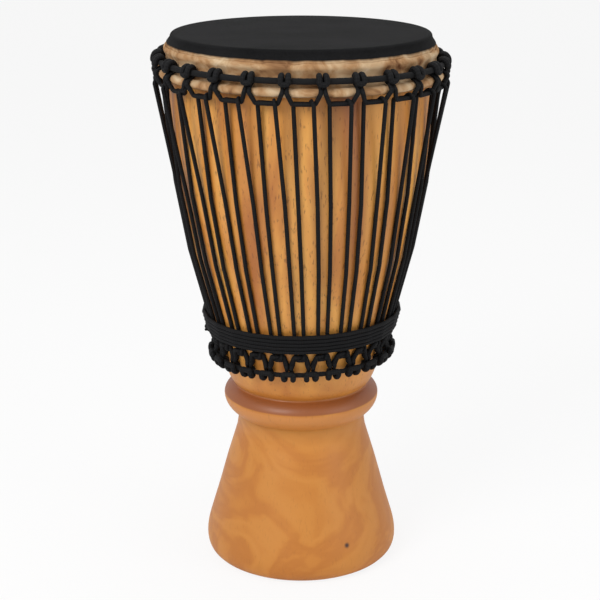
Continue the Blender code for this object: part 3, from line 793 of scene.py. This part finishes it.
def cord_curve(name, route, closed, thickness):
    """The cord as a curve object."""
    curve = bpy.data.curves.new(name, "CURVE")
    curve.dimensions = "3D"
    curve.bevel_depth = CORD_RADIUS * thickness
    curve.bevel_resolution = (SIDES - 4) // 2
    curve.use_fill_caps = not closed
    curve.resolution_u = STEPS
    spline = curve.splines.new("NURBS")
    spline.points.add(len(route) - 1)
    for place, (point, share) in zip(spline.points, route):
        place.co = (*point, 1.0)
        place.radius = share
    spline.order_u = 3
    spline.use_cyclic_u = closed
    spline.use_endpoint_u = not closed
    holder = bpy.data.objects.new(name, curve)
    scene.collection.objects.link(holder)
    return holder


def add_cord(name, route, closed, thickness, *nodes):
    holder = cord_curve(name, tightened(route, closed), closed, thickness)
    bpy.context.view_layer.update()
    mesh = bpy.data.meshes.new_from_object(holder.evaluated_get(bpy.context.evaluated_depsgraph_get()))
    bpy.data.objects.remove(holder)
    marks = mesh.attributes.new("braid", "FLOAT_VECTOR", "POINT")
    along, last = 0.0, None
    for ring in range(len(mesh.vertices) // SIDES):
        corners = range(ring * SIDES, (ring + 1) * SIDES)
        centre = sum((mesh.vertices[corner].co for corner in corners), Vector()) / SIDES
        along += (centre - last).length / CORD_RADIUS if last is not None else 0.0
        last = centre
        for number, corner in enumerate(corners):
            turn = math.tau * number / SIDES
            marks.data[corner].vector = (along, math.sin(turn), math.cos(turn))
    print(f"{name}: {along * CORD_RADIUS:.2f} m long")
    return finish_piece(name, mesh, BRAID, "braided_cord", *nodes)


# %% [markdown]
# A cow hitch goes up behind the hoop, over it and down its front, straight across, and back up and
# behind in mirror image, so both ends leave between the two wraps. The upper cradle hangs from the
# crown hoop and the lower one stands on the lower hoop, upside down.

# %% A cow hitch
WRAP_START = -75.0           # where a wrap begins round the hoop's section, in degrees
WRAP_STEP = 62.0
WRAP_PLACES = 6
WRAP_BEHIND = 3              # the first places lie pressed between the hoop and what is behind it
WRAP_TRIM = 1.0              # the last place turns this much less
NECK_SECTION = 5.0
NECK_FULLNESS = 1.35         # the lower necks are short, slack and full
NECK_REACH = 0.00815
NECK_HALF = CORD_RADIUS + CORD_GAP / 2
INNER_LAYER = CLEARANCE + CORD_RADIUS * PRESSED
OUTER_LAYER = INNER_LAYER + 2 * CORD_RADIUS * PRESSED + CLEARANCE

WRAP = [(WRAP_START - WRAP_STEP * step, PRESSED if step < WRAP_BEHIND else 1.0)
        for step in range(WRAP_PLACES)]
WRAP[-1] = (WRAP[-1][0] + WRAP_TRIM, WRAP[-1][1])


def beside(hoop, angle, section, reach, along):
    """A place beside a hoop: round its section by an angle, at a distance from its middle."""
    turn = math.radians(section)
    return at(angle, hoop[0] + reach * math.cos(turn), hoop[1] + reach * math.sin(turn), along)


def hitch(angle, hoop, outer, side, width):
    wrap = []
    for number, (section, share) in enumerate(WRAP):
        reach = (outer + CLEARANCE + CORD_RADIUS * share) / math.cos(math.radians(WRAP_STEP / 2))
        spread = NECK_HALF + (width - NECK_HALF) * number / (len(WRAP) - 1)
        wrap.append((section * side, reach, spread, share * (WRAP_FULLNESS if share == 1.0 else 1.0)))
    route = []
    for sign, places in ((-1, wrap), (1, wrap[::-1])):
        route += [(beside(hoop, angle, section, reach, sign * spread), share)
                  for section, reach, spread, share in places]
    return route


# %% [markdown]
# Each cradle is one cord that goes from hitch to hitch all round the drum. The ends of the upper one
# meet in a knot, and its level runs are the bottoms of the hexagonal loops. The lower one's runs step
# from the outer layer to the inner one, so that the lacing can pass behind a run on one side and over
# it on the other.

# %% The two cradles
TIE_ANGLE = FRONT_HITCH + TIE_HITCH * PITCH
TIE_RADIUS = 0.1576
TIE_HEIGHT = 0.5535
TIE_SHIFT = -0.0036          # the knot lies a little to the left of its hitch
TIE_PLACE = at(TIE_ANGLE, TIE_RADIUS, TIE_HEIGHT, TIE_SHIFT)


def upper_hitch(number):
    angle = FRONT_HITCH + number * PITCH
    corner = (RUN_RADIUS * math.radians(PITCH) - RUN_WIDTH) / 2
    fold = (FLESH_RADIUS, FLESH_HEIGHT)
    left, right = [[(at(angle, RUN_RADIUS, RUN_HEIGHT, side * corner), 1.0),
                    (beside(fold, angle, NECK_SECTION, NECK_REACH, side * NECK_HALF), 1.0)]
                   for side in (-1, 1)]
    return left + hitch(angle, (CROWN_RADIUS, CROWN_HEIGHT), CROWN_OUTER, 1, HITCH_WIDTH) + right[::-1]


def lower_hitch(number):
    angle = LOW_HITCH + number * PITCH
    neck_height = LOWER_HEIGHT + NECK_HEIGHT
    neck = wall_radius(neck_height) + CLEARANCE + CORD_RADIUS
    half = NECK_HALF * NECK_FULLNESS
    route = [(at(angle, neck, neck_height, -half), NECK_FULLNESS)]
    route += hitch(angle, (LOWER_RADIUS, LOWER_HEIGHT), LOWER_OUTER, -1, LOW_HITCH_WIDTH)
    route.append((at(angle, neck, neck_height, half), NECK_FULLNESS))
    wall = wall_radius(LOW_RUN_HEIGHT)
    for along, layer in ((-LOW_RUN_WIDTH / 2, OUTER_LAYER), (-LOW_RUN_TURN, OUTER_LAYER),
                         (LOW_RUN_TURN, INNER_LAYER), (LOW_RUN_WIDTH / 2, INNER_LAYER)):
        route.append((at(angle + PITCH / 2, wall + layer, LOW_RUN_HEIGHT, along), 1.0))
    return route


first_hitch = upper_hitch(TIE_HITCH)
upper_route = [(TIE_PLACE, 1.0)] + first_hitch[1:]
for number in range(TIE_HITCH + 1, TIE_HITCH + HITCHES):
    upper_route += upper_hitch(number)
upper_route += [first_hitch[0], (TIE_PLACE, 1.0)]
add_cord("upper_cradle", upper_route, False, CRADLE_FULLNESS, "upper_cradle_cord")

lower_route = []
for number in range(HITCHES):
    lower_route += lower_hitch(number)
add_cord("lower_cradle", lower_route, True, CRADLE_FULLNESS, "lower_cradle_cord")

# %% [markdown]
# The lacing climbs to each upper loop, passes behind it and over it, and goes down to the next lower
# loop, where it does the same. Each place of a bight is given by how far it lies along the loop, away
# from the drum and up, and by its share of the full thickness.

# %% Lacing
LEG = ((0.296, 0.0), (0.365, 0.0012), (0.440, 0.0009))      # heights, and how far the leg lifts off there
UPPER_BIGHT = ((-0.0102, -0.0046, 0.0, 1.0), (0.0064, -0.0046, 0.0, 1.0),
               (0.0076, -0.0025, 0.0038, PRESSED), (0.0080, 0.0023, 0.0040, PRESSED),
               (0.0098, 0.0046, -0.0003, 1.0))
LOWER_BIGHT = ((-0.0046, 0.0, 0.0, PRESSED), (-0.0040, -0.0005, -0.0042, 1.25),
               (0.0040, -0.0006, -0.0042, 1.25), (0.0040, 0.0028, -0.0026, 1.0),
               (0.00455, 0.0034, 0.0004, PRESSED), (0.0046, 0.0016, 0.0036, PRESSED))
FIRST_BIGHT_PLACE = 2        # the cord begins at this place of its first lower bight


def leg(number, side, rising):
    points = []
    for height, lift in LEG:
        down = (RUN_HEIGHT - height) / (RUN_HEIGHT - LOW_RUN_HEIGHT)
        spread = LEG_SPREAD + (LOW_LEG_SPREAD - LEG_SPREAD) * down
        angle = FRONT_HITCH + number * PITCH + LACING_LEAN * down + side * spread
        points.append((at(angle, wall_radius(height) + CLEARANCE + CORD_RADIUS + lift, height), 1.0))
    return points if rising else points[::-1]


def bight(angle, radius, height, places):
    return [(at(angle, radius + away, height + up, along), share) for along, away, up, share in places]


def upper_bight(number):
    return bight(FRONT_HITCH + (number + 0.5) * PITCH, RUN_RADIUS, RUN_HEIGHT, UPPER_BIGHT)


def lower_bight(number):
    radius = wall_radius(LOW_RUN_HEIGHT) + INNER_LAYER
    return bight(FIRST_LOW_LOOP + number * PITCH, radius, LOW_RUN_HEIGHT, LOWER_BIGHT)


first_loop = round((WINDING_START - FIRST_LOW_LOOP) / PITCH)
last_loop = first_loop + HITCHES - 1
lacing_route = lower_bight(first_loop)[FIRST_BIGHT_PLACE:]
for number in range(first_loop, last_loop + 1):
    lacing_route += leg(number, 1, True) + upper_bight(number) + leg(number + 1, -1, False)
    if number < last_loop:
        lacing_route += lower_bight(number + 1)
add_cord("lacing", lacing_route, False, LACING_FULLNESS, "lacing_cord")

# %% [markdown]
# At the bottom the lacing's surplus is wound round its own legs, in turns that lie close together. It
# starts where the last leg comes down, and it ends at a knot on the left.

# %% Winding
LEAD_TURN = 2.6              # the cord comes in this many degrees before the first turn
LEAD_OUT = 0.0046
LEAD_UP = 0.0030
END_ANGLE = -98.5
END_RADIUS = 0.1085
END_HEIGHT = 0.2640
END_PLACE = at(END_ANGLE, END_RADIUS, END_HEIGHT)

winding_start = FIRST_LOW_LOOP + first_loop * PITCH
lead_radius = wall_radius(WINDING_TOP) + LEAD_OUT
winding_route = [(at(winding_start - LEAD_TURN, lead_radius, WINDING_TOP + LEAD_UP), 1.0)]
for step in range(WINDING_TURNS * HITCHES):
    height = WINDING_TOP - WINDING_PITCH * step / HITCHES
    radius = (wall_radius(height) + 2 * CLEARANCE + 3 * CORD_RADIUS) / math.cos(math.radians(PITCH / 2))
    winding_route.append((at(winding_start + step * PITCH, radius, height), 1.0))
winding_route.append((END_PLACE, 1.0))
add_cord("winding", winding_route, False, LACING_FULLNESS, "winding_cord")

# %% [markdown]
# A tight overhand knot looks like a round lump with crossing strands. Its cord runs along a small
# trefoil, thick enough for the strands to press into each other.

# %% Knots
KNOT_POINTS = 36
KNOT_STRAND = 0.8            # the strands are pulled thinner than the cord
KNOT_DEPTH = 0.55
TIE_KNOT_SIZE = 0.0086
END_KNOT_SIZE = 0.0100


def add_knot(name, place, size, angle, node):
    route = []
    reach = size / 2 - CORD_RADIUS * KNOT_STRAND
    facing = Matrix.Rotation(math.radians(angle), 3, "Z")
    for step in range(KNOT_POINTS):
        t = math.tau * step / KNOT_POINTS
        wide = (2 + math.cos(3 * t)) / 3 * reach
        spot = Vector((wide * math.cos(2 * t), reach * KNOT_DEPTH * math.sin(3 * t), wide * math.sin(2 * t)))
        route.append((place + facing @ spot, KNOT_STRAND))
    return add_cord(name, route, True, 1.0, node)


add_knot("tie_knot", TIE_PLACE, TIE_KNOT_SIZE, TIE_ANGLE, "cradle_tie_knot")
add_knot("end_knot", END_PLACE, END_KNOT_SIZE, END_ANGLE, "cord_end_knot")
